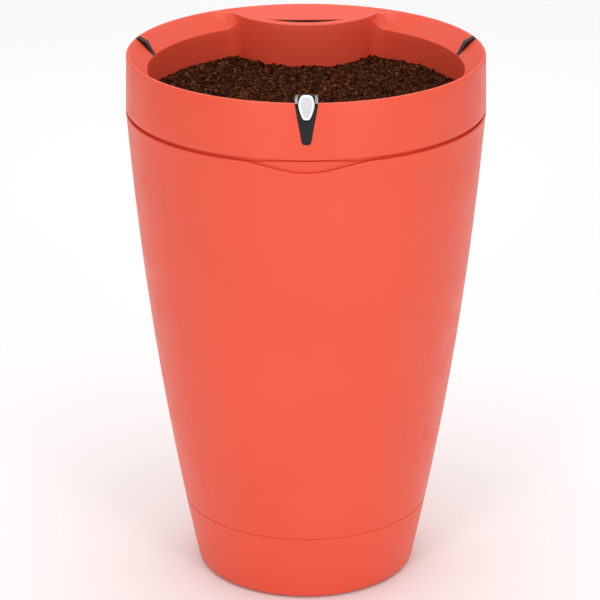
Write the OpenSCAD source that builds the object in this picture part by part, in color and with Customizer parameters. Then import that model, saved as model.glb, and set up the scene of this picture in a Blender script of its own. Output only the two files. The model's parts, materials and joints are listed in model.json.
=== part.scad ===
// Self-watering planter: a tapered water tank and a planting insert that lifts out of it.
// The insert carries the rim, the soil pot, three rim nozzles, a light sensor, a pump and its controls.
// Millimetres. Z is up, the origin is on the floor under the middle of the tank, the front faces -Y.

/* [Tank] */
// Height of the rim's top edge above the floor
rim_z = 314; // [262:1:376]
// Diameter of the tank where it would meet the floor
base_d = 128; // [106:1:154]
// How far the tank's side swells outside a straight taper
bulge = 5; // [3:0.5:8]
// Wall of the tank
tank_wall = 3.2; // [2.8:0.1:4]
// Height of the seam between the base cup and the tank shell
seam_z = 42.5; // [35:0.5:52]
// Thickness of the tank's floor
floor_t = 3; // [2:0.1:4]
// Diameter of the drain hole in the tank's floor
drain_d = 14; // [11:0.5:17]
// Diameter of a foot pad
foot_d = 12; // [10:0.5:14.5]
// Thickness of a foot pad
foot_t = 2.6; // [2.2:0.1:3.2]

/* [Rim] */
// Diameter of the rim at its top edge
rim_d = 203; // [196:1:244]
// How much wider the rim's radius is at its bottom edge
rim_flare = 0.8; // [0.2:0.1:1.6]
// Height of the rim's outer band
band_h = 31.4; // [28:0.1:38]
// Wall of the rim
rim_wall = 2.4; // [2:0.1:2.9]
// Width of the rim's sloped inner face, seen from above
slope_w = 11.8; // [11:0.1:14]
// Drop of the sloped face from the top edge to its inner edge
slope_drop = 9.6; // [8:0.1:11.6]
// Height of the open joint line between the rim and the tank
reveal = 2.2; // [1:0.1:4]
// Depth of the finger dip in the front of the tank's edge
dip_h = 5.4; // [3:0.1:8]
// Half of the angle that the finger dip takes up
dip_angle = 22; // [16:1:30]
// Length of the neck that drops inside the tank
neck_h = 24; // [20:1:30]

/* [Pot] */
// Depth of the pot's underside below the rim's top edge
pot_h = 178; // [148:1:200]
// Wall of the pot
pot_wall = 2.4; // [2:0.1:2.9]
// Depth of the soil below the rim's top edge
soil_drop = 25.5; // [21:0.5:31]
// How far the rear lobe reaches in from the rim
lobe_reach = 45; // [42:0.5:48]
// Radius of the rear lobe's curved face
lobe_r = 48; // [46:0.5:51]
// Thickness of the lip on top of the lobe
lobe_lip = 6; // [5:0.1:7]
// Size of the filling slot behind the lip, from front to back
slot_w = 10; // [8.3:0.1:12]

/* [Water and power] */
// Outside diameter of the hoses
hose_d = 4.4; // [3.6:0.1:4.8]
// Diameter of a battery cell
cell_d = 14.2; // [11.8:0.1:16]
// Length of a battery cell
cell_l = 49.5; // [41:0.5:59.5]
// Diameter of the pump
pump_d = 36; // [30:0.5:43]
// Height of the pump's water chamber
chamber_h = 12; // [10:0.5:14.5]
// Height of the pump's motor
motor_h = 22; // [18:0.5:26.5]
// Width of the control housing
house_w = 44; // [38:0.5:48]
// Depth of the control housing, from front to back
house_d = 14; // [12:0.5:16]
// Height of the control housing
house_h = 90; // [75:1:108]

/* [Front sensor] */
// Width of the sensor body where it crosses the rim
sensor_w = 12.4; // [11:0.1:14.8]
// Width of the sensor body at its lower end
sensor_tip_w = 6.6; // [5.4:0.1:8]
// Length of the sensor body below the rim's top edge
sensor_l = 23.6; // [19:0.1:27]
// Height of the lens frame above the rim's top edge
head_h = 5; // [4:0.1:6]
// Width of the lens frame
frame_w = 8.3; // [7:0.1:9.6]

/* [Hidden] */
$fn = 96;
far = 400;

// Clearances
lap_gap = 0.3;      // neck inside the tank's lip, and above its ledge
seat_gap = 0.15;    // pushed-in and bonded joints
lift_gap = 0.35;    // parts that lift out
touch = 0.03;       // faces that rest on each other
plug_gap = 0.06;    // drain plug in its hole
spin_gap = 0.06;    // pump rotor on its shaft

// Tank outline
rim_r = rim_d / 2;
base_r = base_d / 2;
band_r = rim_r + rim_flare;
shoulder_z = rim_z - band_h;
function tank_r(z) = let (s = z / shoulder_z)
    base_r + (band_r - base_r) * s + 4 * bulge * s * (1 - s);
function tank_in(z) = tank_r(z) - tank_wall;
// Points along the tank's side from one height to another, a fixed distance inside it
function side(from, to, inset, steps) =
    [for (i = [0:steps]) let (z = from + (to - from) * i / steps) [tank_r(z) - inset, z]];
function polar(angle, r, z) = [r * sin(angle), -r * cos(angle), z];
function arc(x, y, r, from, to, steps = 6) =
    [for (i = [0:steps]) let (a = from + (to - from) * i / steps) [x + r * cos(a), y + r * sin(a)]];

foot_proud = 0.8;
foot_ring_w = foot_d + 4;
foot_r = base_r - 11;
under_h = foot_t - foot_proud + 2.2;
floor_z = foot_proud + under_h;
floor_top = floor_z + floor_t;
base_round = 3;
spigot_h = 11;
spigot_wall = 3.4;
spigot_r = tank_r(seam_z) - 3.6;
seal_r = 1;
seal_groove = 2;
seal_z = seam_z + spigot_h / 2;
plug_flange_t = 1.8;
plug_flange_r = drain_d / 2 + 4;
drain_boss_h = 4;

lip_wall = 1.2;
edge_z = shoulder_z - reveal;
ledge_z = shoulder_z - neck_h;
neck_inset = lip_wall + lap_gap;
neck_wall = 2;
wave_steps = 24;

// Rim outline
edge_round = 1;
slope_out_r = rim_r - 1.6;
slope_in_r = rim_r - slope_w;
slope_in_z = rim_z - slope_drop;
slope_rise = slope_drop / (slope_out_r - slope_in_r);
function slope_z(r) = slope_in_z + (r - slope_in_r) * slope_rise;
slope_t = rim_wall * sqrt(1 + slope_rise * slope_rise);
pot_top_z = slope_in_z - 2.4;

// Rear lobe
lobe_y = rim_r - lobe_reach + lobe_r;
lobe_face = rim_r - lobe_reach;
lip_back_r = lobe_r - lobe_lip;
lip_z = rim_z - 0.8;
flare_r = 12;
lobe_fillet = 8;
fillet_bite = 0.06; // makes a fillet cross its neighbours, not just touch them
slot_y = lobe_y - lip_back_r + slot_w;
tray_fall = 0.062;
tray_t = 2.2;
function tray_z(r) = rim_z - 0.3 - (slope_out_r - r) * tray_fall;
well_z = tray_z(slot_y) - 13;
ledge_w = 1.6;
basket_wall = 1;
// Centre of a fillet between the lobe and a circle of radius out_r about the middle of the planter
function fillet_y(out_r, r) =
    (pow(out_r - r, 2) - pow(lobe_r + r, 2) + lobe_y * lobe_y) / (2 * lobe_y);
function fillet_x(out_r, r) = sqrt(pow(out_r - r, 2) - pow(fillet_y(out_r, r), 2));

// Pot
pot_z = rim_z - pot_h;
pot_in_r = slope_in_r;
pot_r = pot_in_r + pot_wall;
pot_back_r = lobe_r - pot_wall;
taper_z = shoulder_z - 8;
pot_low_r = tank_in(pot_z) - 7;
soil_z = rim_z - soil_drop;
grate_z = pot_z + pot_wall + 5;
grate_t = 2.4;
pot_hole_d = 4;
pot_hole_rings = [14, 32, 50];
grate_hole_d = 3.5;
grate_hole_rings = [12, 26, 40, 54];
function pot_out(z) = z > taper_z ? pot_r
    : pot_low_r + (pot_r - pot_low_r) * (z - pot_z) / (taper_z - pot_z);

// Screws that hold the pot to the rim
tab_t = 2.5;
tab_z = shoulder_z + 8;
post_r = pot_r + 3.5;
post_d = 6;
pilot_d = 2.5;
screw_d = 2.4;
screw_head_d = 4.6;
screw_head_h = 1.8;
screw_l = 9;
tab_angles = [-140, -75, -35, 35, 75, 140];

// Nozzles and hoses
nozzle_angle = 105;
nozzle_angles = [0, nozzle_angle, -nozzle_angle];
nozzle_w = 4;
hose_wall = 0.8;
hose_bore = hose_d - 2 * hose_wall;
outlet_d = 1.8;
stub_d = 3.2;
hose_r = pot_r + 3.4;
hose_z = shoulder_z - 2;
clip_t = 0.7;
clip_arc = 8;
riser_angle = -148;

// Control housing behind the lobe
rib_x = 10;
rib_t = 2.4;
house_wall = 2;
house_front = lobe_y - sqrt(pow(pot_back_r, 2) - pow(house_w / 2 + 0.5, 2)) + 0.5;
house_back = house_front + house_d;
house_top = well_z - 10;
house_z = house_top - house_h;
gasket_t = 1;
cover_t = 2.2;
cover_screw_x = house_w / 2 - 4;
cover_screw_d = 2;
cover_post_d = 5;
board_t = 1.6;
board_y = house_front + house_wall + 5;
board_w = house_w - 2 * house_wall - 9;
board_h = house_h - 2 * house_wall - 12;
board_z = house_z + house_wall + 6;
probe_d = 3;
probe_reach = 22;
probe_x = 6;
probe_z = board_z + 14;
seal_hole_d = 6.4;

// Battery capsule under the pot
column_gap = 4;
cluster_r = cell_d / sqrt(2) + 0.3;
capsule_in_r = cluster_r + cell_d / 2 + 0.5;
capsule_wall = 2.4;
capsule_r = capsule_in_r + capsule_wall;
capsule_y = -(capsule_r + column_gap);
contact_t = 0.8;
nub_h = 1;
capsule_top_t = 3;
capsule_z = pot_z - capsule_top_t - contact_t - nub_h - cell_l - 1;
cells_z = capsule_z + 0.3;
cap_wall = 2.2;
cap_floor_t = 2.4;
cap_h = 15;
cap_gap = 0.35;
cap_z = capsule_z - contact_t - cap_floor_t - 0.15;
cap_in_r = capsule_r + cap_gap;
cap_r = cap_in_r + cap_wall;
cap_seal_r = 0.7;
cap_seal_groove = 1.3;
cap_seal_z = capsule_z + 6;

// Pump under the pot
pump_r = pump_d / 2;
pump_y = pump_r + column_gap;
pump_wall = 2;
pump_z = floor_top + drain_boss_h + 5;
pump_cover_t = 2.4;
inlet_r = 6;
chamber_z = pump_z + pump_cover_t;
motor_z = chamber_z + chamber_h;
stem_z = motor_z + motor_h;
stem_d = 13;
stem_bore = 8;
shaft_d = 2;
shaft_z = chamber_z + 1.5;
rotor_r = pump_r - pump_wall - 2.5;
barb_z = chamber_z + chamber_h / 2;
barb_l = 6;
barb_bore = 1.6;
cable_d = 2.4;
cable_x = 9;
cable_z = pot_z - 8;
cable_y = house_front + 4;
hose_turn = asin((hose_d / 2 + touch) / hose_r);

// Front sensor
pod_y = -band_r;
pod_t = 1.8;
head_w = frame_w + 0.9;
head_back = -(slope_out_r - 4.5);
ear_h = head_h - 0.9;
frame_t = 1.1;
frame_proud = 0.4;
frame_border = 1.4;
cable_small = 1.4;
sensor_cable_hole = cable_small + 0.8;
sensor_cable_z = shoulder_z + rim_wall + 1;
sensor_cable_r = band_r - rim_wall - 1;
sensor_cable_x = 3.2;
sensor_cable_y = -hose_r - 2.1;
sensor_cable_from = 8;
sensor_cable_to = 160;

// ---------- shared shapes ----------

// Places its children at an angle from the front and a distance from the middle
module at(angle, r, z = 0) {
    rotate([0, 0, angle]) translate([0, -r, z]) children();
}

module ring(outer, inner, h) {
    difference() {
        cylinder(r = outer, h = h);
        translate([0, 0, -1]) cylinder(r = inner, h = h + 2);
    }
}

// A straight rod between two points
module rod(a, b, d, sides = 24) {
    v = b - a;
    translate(a) rotate([0, acos(v[2] / norm(v)), atan2(v[1], v[0])])
        cylinder(d = d, h = norm(v), $fn = sides);
}

function unit(v) = v / norm(v);

// A ball that rounds a bend, turned so that its poles lie inside the two rods it joins
module bend(point, way_in, way_out, d) {
    axis = unit(unit(way_in) + unit(way_out) + unit(cross(way_in, way_out)));
    translate(point) rotate([0, acos(axis[2]), atan2(axis[1], axis[0])]) sphere(d = d * 1.06, $fn = 24);
}

// A rod that follows a list of points, with round bends
module run(points, d) {
    for (i = [0:len(points) - 2]) rod(points[i], points[i + 1], d);
    for (i = [1:len(points) - 2])
        bend(points[i], points[i] - points[i - 1], points[i + 1] - points[i], d);
}

// A thin cable along a list of points, whose straight pieces run a little past each bend
module cable(points, d) {
    last = len(points) - 2;
    for (i = [0:last]) let (u = unit(points[i + 1] - points[i]) * d / 3)
        rod(points[i] - (i > 0 ? u : 0 * u), points[i + 1] + (i < last ? u : 0 * u), d, 12);
}

// A ring of round section that covers only part of a turn
module part_ring(from, to, r, d) {
    rotate([0, 0, from - 90]) rotate_extrude(angle = to - from)
        translate([r, 0]) circle(d = d, $fn = 24);
}

// The rear lobe seen from above
module lobe_disc(r) {
    translate([0, lobe_y]) circle(r = r);
}

// The sharp corner between the lobe and a circle of radius out_r, outside its fillet.
// grow moves the fillet's face out of the corner.
module corner(out_r, r, grow = 0) {
    c = [fillet_x(out_r, r), fillet_y(out_r, r)];
    on_circle = c * out_r / norm(c);
    middle = [0, lobe_y];
    on_lobe = middle + (c - middle) * lobe_r / norm(c - middle);
    difference() {
        polygon([c, on_circle, on_circle * 1.01, (on_circle + on_lobe) * 0.52,
            on_lobe + (on_lobe - c) * 0.15, on_lobe]);
        translate(c) circle(r = r + fillet_bite - grow);
    }
}

// Plan of the pot's cavity: a circle with the lobe taken out and both corners rounded
module cavity_plan(shrink = 0) {
    difference() {
        circle(r = pot_in_r - shrink);
        lobe_disc(lobe_r + shrink);
        for (hand = [0, 1]) mirror([hand, 0]) corner(pot_in_r, lobe_fillet, shrink);
    }
}

// Plan of the filling slot: the part of the lobe just behind its lip
module slot_plan(shrink = 0) {
    intersection() {
        lobe_disc(lip_back_r - shrink);
        translate([-lobe_r, lobe_y - lobe_r]) square([2 * lobe_r, slot_y - shrink - lobe_y + lobe_r]);
    }
}

// ---------- tank ----------

// Cuts the finger dip out of the front of the tank's edge
module finger_dip() {
    half = band_r * sin(dip_angle);
    wave = [for (i = [-wave_steps:wave_steps])
        [half * i / wave_steps, edge_z - dip_h * (1 + cos(180 * i / wave_steps)) / 2]];
    rotate([90, 0, 0]) linear_extrude(height = band_r + 5)
        polygon(concat(wave, [[half, edge_z + 5], [-half, edge_z + 5]]));
}

module tank_shell() {
    bore = spigot_r + seat_gap;
    step_z = seam_z + spigot_h + 1;
    color("tomato") difference() {
        rotate_extrude() polygon(concat(
            side(seam_z, edge_z, 0, 14),
            [for (i = [3:-1:0]) let (z = ledge_z + (edge_z - ledge_z) * i / 3) [tank_r(z) - lip_wall, z]],
            [for (i = [12:-1:0]) let (z = step_z + 4 + (ledge_z - step_z - 4) * i / 12) [tank_in(z), z]],
            [[bore, step_z], [bore, seam_z]]));
        finger_dip();
    }
}

module base_cup() {
    inner_r = spigot_r - spigot_wall;
    color("tomato") difference() {
        rotate_extrude() polygon(concat(
            [[0, floor_z], [foot_r - foot_ring_w / 2, floor_z], [foot_r - foot_ring_w / 2, foot_proud]],
            arc(tank_r(base_round) - base_round, foot_proud + base_round, base_round, -90, 0),
            side(base_round + foot_proud + 1, seam_z, 0, 4),
            [[spigot_r, seam_z], [spigot_r, seal_z - seal_r - 0.1],
             [spigot_r - seal_groove, seal_z - seal_r - 0.1],
             [spigot_r - seal_groove, seal_z + seal_r + 0.1],
             [spigot_r, seal_z + seal_r + 0.1], [spigot_r, seam_z + spigot_h],
             [inner_r, seam_z + spigot_h], [inner_r, seam_z - 3]],
            [for (i = [3:-1:0]) let (z = floor_top + 4 + (seam_z - 12 - floor_top) * i / 3)
                [tank_in(z), z]],
            [[tank_in(floor_top) - 4, floor_top], [drain_d / 2 + 4, floor_top],
             [drain_d / 2 + 3, floor_top + drain_boss_h], [0, floor_top + drain_boss_h]]));
        cylinder(d = drain_d, h = far, center = true);
        for (i = [0:3]) at(45 + 90 * i, foot_r, -1)
            cylinder(d = foot_d + 2 * touch, h = foot_t + 1 + touch);
    }
}

module base_seal() {
    color("black") rotate_extrude() translate([spigot_r - seal_groove + seal_r + touch, seal_z])
        circle(r = seal_r, $fn = 32);
}

module rubber_feet() {
    color("dimgray") for (i = [0:3]) at(45 + 90 * i, foot_r) cylinder(d = foot_d, h = foot_t);
}

module drain_plug() {
    top = floor_top + drain_boss_h + 1.5;
    grip_h = floor_z - plug_flange_t - lap_gap - 0.6;
    color("dimgray") difference() {
        union() {
            translate([0, 0, floor_z - plug_flange_t - lap_gap])
                cylinder(r = plug_flange_r, h = plug_flange_t);
            translate([0, 0, floor_z - lap_gap - 1])
                cylinder(r = drain_d / 2 - plug_gap, h = top - floor_z + lap_gap + 1);
            translate([-5, -1.2, 0.6]) cube([10, 2.4, grip_h + 0.5]);
        }
        translate([0, 0, floor_z + 1.5]) cylinder(d = drain_d - 6, h = far);
    }
}

// ---------- rim ----------

module rim_body() {
    inner_band = rim_r - rim_wall;
    rotate_extrude() polygon(concat(
        [[tank_r(ledge_z) - neck_inset, ledge_z + lap_gap]],
        [for (i = [1:4]) let (z = ledge_z + neck_h * i / 4) [tank_r(z) - neck_inset, z]],
        [[band_r, shoulder_z]],
        arc(rim_r - edge_round, rim_z - edge_round, edge_round, 0, 90),
        [[slope_out_r, rim_z], [slope_in_r, slope_in_z], [slope_in_r, pot_top_z],
         [slope_in_r + rim_wall, pot_top_z],
         [slope_in_r + rim_wall, slope_z(slope_in_r + rim_wall) - slope_t],
         [inner_band, slope_z(inner_band) - slope_t],
         [band_r - rim_wall, shoulder_z + rim_wall],
         [tank_r(shoulder_z) - neck_inset - neck_wall, shoulder_z + rim_wall]],
        [for (i = [4:-1:1]) let (z = ledge_z + neck_h * i / 4) [tank_r(z) - neck_inset - neck_wall, z]],
        [[tank_r(ledge_z) - neck_inset - neck_wall, ledge_z + lap_gap]]));
}

// The lobe's top: its lip, the shallow tray behind it, and the well that holds the basket
module lobe_top() {
    // lip, flared out to the rim at both ends
    translate([0, 0, pot_top_z]) linear_extrude(height = lip_z - pot_top_z) intersection() {
        difference() {
            union() {
                lobe_disc(lobe_r);
                for (hand = [0, 1]) mirror([hand, 0]) corner(slope_out_r, flare_r);
                for (hand = [0, 1]) mirror([hand, 0]) corner(pot_in_r, lobe_fillet);
            }
            lobe_disc(lip_back_r);
        }
        circle(r = slope_out_r);
    }
    // tray
    intersection() {
        rotate_extrude() polygon([[slot_y - 12, tray_z(slot_y - 12)], [slope_out_r, tray_z(slope_out_r)],
            [slope_out_r, tray_z(slope_out_r) - tray_t], [slot_y - 12, tray_z(slot_y - 12) - tray_t]]);
        translate([0, 0, rim_z - 20]) linear_extrude(height = 30) difference() {
            lobe_disc(lip_back_r + 0.5);
            slot_plan();
        }
    }
    // rear wall and ledge of the well
    intersection() {
        translate([0, 0, well_z]) linear_extrude(height = tray_z(slot_y) - well_z - 0.5)
            lobe_disc(lip_back_r + 0.5);
        union() {
            translate([-lobe_r, slot_y, well_z]) cube([2 * lobe_r, 2, 30]);
            translate([-lobe_r, slot_y - ledge_w, well_z]) cube([2 * lobe_r, ledge_w + 1, 1.6]);
        }
    }
}

module rim_ring() {
    color("tomato") difference() {
        union() {
            difference() {
                rim_body();
                // the slope is left out behind the lobe's lip
                translate([0, 0, shoulder_z + rim_wall + 0.5]) linear_extrude(height = 60) intersection() {
                    lobe_disc(lip_back_r);
                    circle(r = slope_out_r - 1.5);
                }
            }
            lobe_top();
            for (a = tab_angles) intersection() {
                at(a, post_r, tab_z) cylinder(d = post_d, h = 40);
                rotate_extrude() polygon([[slope_in_r + 1, tab_z - 1],
                    [slope_in_r + 1, slope_z(slope_in_r) - 1],
                    [slope_out_r, slope_z(slope_out_r) - 2], [slope_out_r, tab_z - 1]]);
            }
        }
        for (a = tab_angles) at(a, post_r, tab_z - 1) cylinder(d = pilot_d, h = screw_l, $fn = 24);
        for (a = nozzle_angles) at(a, hose_r, hose_z) cylinder(d = stub_d + 0.3, h = far, $fn = 24);
        translate([sensor_cable_x, sensor_cable_y, rim_z - 12])
            cylinder(d = sensor_cable_hole, h = 14, $fn = 24);
        // seat for the sensor body
        translate([0, pod_y + pod_t + 0.1, 0]) rotate([90, 0, 0])
            linear_extrude(height = 10) sensor_outline(seat_gap);
    }
}

// ---------- pot ----------

module inner_pot() {
    color("tomato") difference() {
        union() {
            translate([0, 0, taper_z]) linear_extrude(height = pot_top_z - touch - taper_z) difference() {
                circle(r = pot_r);
                lobe_disc(pot_back_r);
                cavity_plan();
            }
            difference() {
                translate([0, 0, pot_z]) cylinder(r1 = pot_low_r, r2 = pot_r, h = taper_z - pot_z);
                translate([0, lobe_y, pot_z - 1]) cylinder(r = pot_back_r, h = far);
                difference() {
                    translate([0, 0, pot_z])
                        cylinder(r1 = pot_low_r - pot_wall, r2 = pot_in_r, h = taper_z - pot_z);
                    translate([0, 0, pot_z - 1]) cylinder(r = pot_r, h = pot_wall + 1);
                    translate([0, lobe_y, pot_z - 1]) cylinder(r = lobe_r, h = far);
                }
            }
            // ribs behind the lobe that carry the control housing
            for (hand = [-1, 1]) difference() {
                translate([hand * rib_x - rib_t / 2, lobe_face + 1, house_z + 5])
                    cube([rib_t, house_front - touch - lobe_face - 1, house_h - 10]);
                translate([0, lobe_y, 0]) ring(far, lobe_r - 1, far);
            }
            for (a = tab_angles) rotate([0, 0, a]) difference() {
                translate([-3.5, -post_r - post_d / 2, tab_z - tab_t])
                    cube([7, post_r + post_d / 2 - pot_r + 1, tab_t - touch]);
                translate([0, -post_r, 0]) cylinder(d = screw_d + 0.4, h = far, $fn = 24);
            }
        }
        for (r = pot_hole_rings) for (i = [0:7]) at(15 + 45 * i, r, pot_z - 1)
            if (drain_hole_clear(15 + 45 * i, r)) cylinder(d = pot_hole_d, h = pot_wall + 2, $fn = 24);
        for (hand = [-1, 1]) translate([hand * probe_x, lobe_face - 5, probe_z]) rotate([-90, 0, 0])
            cylinder(d = seal_hole_d, h = 12, $fn = 24);
    }
}

// Whether a drain hole clears the lobe, the battery capsule and the pump's stem
function drain_hole_clear(angle, r) = let (p = polar(angle, r, 0))
    norm([p[0], p[1] - lobe_y]) > lobe_r + 6
    && norm([p[0], p[1] - capsule_y]) > capsule_r + 5
    && norm([p[0], p[1] - pump_y]) > stem_d / 2 + 7;

module potting_soil() {
    low = grate_z + grate_t + touch;
    gap = 0.3;
    color("saddlebrown") difference() {
        union() {
            difference() {
                intersection() {
                    translate([0, 0, pot_z])
                        cylinder(r1 = pot_low_r - pot_wall - gap, r2 = pot_in_r - gap, h = taper_z - pot_z);
                    translate([0, 0, low]) cylinder(r = far, h = far);
                }
                translate([0, lobe_y, pot_z]) cylinder(r = lobe_r + gap, h = far);
            }
            translate([0, 0, taper_z]) linear_extrude(height = soil_z - taper_z) cavity_plan(gap);
        }
        for (hand = [-1, 1]) translate([hand * probe_x, lobe_face - probe_reach - 1, probe_z])
            rotate([-90, 0, 0]) cylinder(d = seal_hole_d + 0.6, h = probe_reach + 6, $fn = 24);
    }
}

module drain_grate() {
    color("dimgray") {
        difference() {
            translate([0, 0, grate_z])
                cylinder(r = pot_low_r - pot_wall - 1, h = grate_t);
            translate([0, lobe_y, 0]) cylinder(r = lobe_r + 1, h = far);
            for (r = grate_hole_rings) for (i = [0:9]) at(36 * i + r, r, grate_z - 1)
                if (norm([0, lobe_y, 0] - polar(36 * i + r, r, 0)) > lobe_r + 5)
                    cylinder(d = grate_hole_d, h = grate_t + 2, $fn = 24);
        }
        for (i = [0:4]) at(-120 + 60 * i, 62, pot_z + pot_wall + touch) cylinder(d = 5, h = 5, $fn = 24);
    }
}

module rim_screws() {
    color("silver") for (a = tab_angles) at(a, post_r) {
        translate([0, 0, tab_z - tab_t - screw_head_h - touch])
            cylinder(d = screw_head_d, h = screw_head_h, $fn = 24);
        translate([0, 0, tab_z - tab_t - 0.5]) cylinder(d = screw_d, h = screw_l, $fn = 24);
    }
}

module fill_basket() {
    low = well_z + 1.6 + lap_gap;
    h = tray_z(slot_y) - 0.8 - low;
    color("dimgray") difference() {
        translate([0, 0, low]) linear_extrude(height = h) slot_plan(lift_gap);
        translate([0, 0, low + 1.2]) linear_extrude(height = h) slot_plan(lift_gap + basket_wall);
        for (i = [-4:4]) translate([i * 4.4, slot_y - slot_w / 2, low - 1])
            cylinder(d = 2.6, h = 4, $fn = 24);
    }
}

// ---------- front sensor ----------

// Face of the sensor body: a tapered tongue below a head as wide as the lens frame
module sensor_outline(grow = 0) {
    tip = sensor_tip_w / 2 + grow;
    wide = sensor_w / 2 + grow;
    tip_z = rim_z - sensor_l - grow;
    round_r = 2.2;
    polygon(concat(
        [[wide, rim_z]],
        arc(tip - round_r, tip_z + round_r, round_r, 0, -90),
        arc(-tip + round_r, tip_z + round_r, round_r, -90, -180),
        [[-wide, rim_z]]));
}

// The lens frame's outline, drawn in by an inset
module lens_outline(inset = 0) {
    half = frame_w / 2;
    right = concat(
        arc(half - 2.2, rim_z + head_h - 2.3, 2.3 - inset, 90, 12, 8),
        arc(half - 2.1, rim_z, 2.1 - inset, 6, -14, 4),
        arc(half - 3.6, rim_z - 7.5, 1.5 - inset, -14, -90, 6));
    left = [for (i = [len(right) - 1:-1:0]) [-right[i][0], right[i][1]]];
    polygon(concat(right, left));
}

// Stands a plan drawn in X and Z up as a plate whose front face is at y
module plate(y, t) {
    translate([0, y + t, 0]) rotate([90, 0, 0]) linear_extrude(height = t) children();
}

module sensor_body() {
    low = rim_z + touch;
    color([0.16, 0.16, 0.17]) difference() {
        union() {
            plate(pod_y, pod_t) sensor_outline();
            plate(pod_y, pod_t) lens_outline(-0.45);
            // block that sits on top of the rim
            translate([-head_w / 2, pod_y + 0.6, low]) cube([head_w, head_back - pod_y - 0.6, ear_h - 0.6]);
        }
        plate(pod_y - 1, 1 + frame_t - frame_proud + touch) lens_outline(-touch);
        translate([-2.8, pod_y, rim_z + 0.5]) cube([5.6, 3.4, 2.6]);
        translate([sensor_cable_x, sensor_cable_y, rim_z - 1])
            cylinder(d = sensor_cable_hole, h = 3, $fn = 24);
    }
}

module sensor_ears() {
    ear_t = (sensor_w - head_w) / 2 - touch;
    color("silver") for (hand = [0, 1]) mirror([hand, 0, 0]) plate(pod_y + 0.7, 3)
        polygon(concat(
            [[head_w / 2 + touch, rim_z + touch], [head_w / 2 + ear_t, rim_z + touch]],
            arc(head_w / 2 + touch, rim_z + ear_h - ear_t, ear_t, 0, 90)));
}

module lens_frame() {
    color("white") plate(pod_y - frame_proud, frame_t) difference() {
        lens_outline();
        lens_outline(frame_border);
    }
}

module light_lens() {
    color("lightgray") plate(pod_y - frame_proud + 0.1, frame_t - 0.1) lens_outline(frame_border + touch);
}

module sensor_board() {
    color("darkgreen") {
        translate([-2.4, pod_y + 1.6, rim_z + 0.8]) cube([4.8, 0.8, 2]);
        translate([-0.8, pod_y + 1, rim_z + 1.2]) cube([1.6, 0.6, 1.2]);
    }
}

// A nozzle: a fin that lies on the rim's slope, with a stub down into the hose
module nozzle(cut_r) {
    lift = 0.05;
    color([0.16, 0.16, 0.17]) difference() {
        union() {
            intersection() {
                rotate([90, 0, -90]) translate([0, 0, -nozzle_w / 2]) linear_extrude(height = nozzle_w)
                    polygon([[slope_in_r + 0.2, slope_z(slope_in_r + 0.2) + lift],
                        [slope_out_r, rim_z + lift], [rim_r - 0.8, rim_z + lift],
                        [rim_r - 1.4, rim_z + 0.6], [slope_out_r - 0.6, rim_z + 0.7],
                        [rim_r - 4.6, rim_z - 0.6], [rim_r - 7.2, rim_z - 1.9],
                        [rim_r - 8.4, rim_z - 4], [rim_r - 9.8, rim_z - 6.6]]);
                translate([-far, -cut_r, 0]) cube([2 * far, far, far]);
            }
            at(0, hose_r, hose_z + 0.6)
                cylinder(d = stub_d, h = slope_z(hose_r) + 0.5 - hose_z, $fn = 24);
        }
        at(0, hose_r, hose_z) cylinder(d = outlet_d, h = slope_z(hose_r) - 1 - hose_z, $fn = 24);
        rod([0, -hose_r, slope_z(hose_r) - 1.6], [0, -hose_r + 8, slope_z(hose_r) - 1.6 + 1], 1.2);
    }
}

module nozzle_front() {
    nozzle(-head_back - touch);
}

module nozzle_right() {
    rotate([0, 0, nozzle_angle]) nozzle(far);
}

module nozzle_left() {
    rotate([0, 0, -nozzle_angle]) nozzle(far);
}

// ---------- water ----------

module ring_hose() {
    color("darkslategray") translate([0, 0, hose_z]) difference() {
        part_ring(riser_angle, nozzle_angle + 4, hose_r, hose_d);
        part_ring(riser_angle, nozzle_angle + 2, hose_r, hose_bore);
        for (a = nozzle_angles) at(a, hose_r, 0.6) cylinder(d = stub_d + 2 * touch, h = far, $fn = 24);
    }
}

module hose_clips() {
    color([0.16, 0.16, 0.17]) for (a = nozzle_angles) translate([0, 0, hose_z]) difference() {
        part_ring(a - clip_arc / 2, a + clip_arc / 2, hose_r, hose_d + 2 * clip_t);
        part_ring(a - clip_arc, a + clip_arc, hose_r, hose_d + 2 * touch);
        at(a, hose_r, 0.6) cylinder(d = stub_d + 2 * touch, h = far, $fn = 24);
    }
}

// Middle of the gap between the pot and the tank
function gap_r(z) = (pot_out(z) + tank_in(z)) / 2 - 0.2;

module riser_hose() {
    low = pot_z - 6;
    turn = riser_angle - hose_turn;
    start = polar(turn, hose_r, hose_z - 1);
    route = concat(
        [start],
        [for (i = [0:4]) let (z = taper_z - 2 - (taper_z - 2 - low) * i / 4)
            polar(turn, gap_r(z), z)],
        [[-pump_r - 12, pump_y + 14, pot_z - 40], [-pump_r - barb_l - 6, pump_y + 2, barb_z + 14],
         [-pump_r - barb_l - 3, pump_y, barb_z + 3], [-pump_r - barb_l, pump_y, barb_z],
         [-pump_r - 0.6, pump_y, barb_z]]);
    color("darkslategray") difference() {
        run(route, hose_d);
        rod([-pump_r - barb_l - 0.5, pump_y, barb_z], [-pump_r + 1, pump_y, barb_z], hose_bore);
    }
}

// ---------- controls ----------

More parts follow.
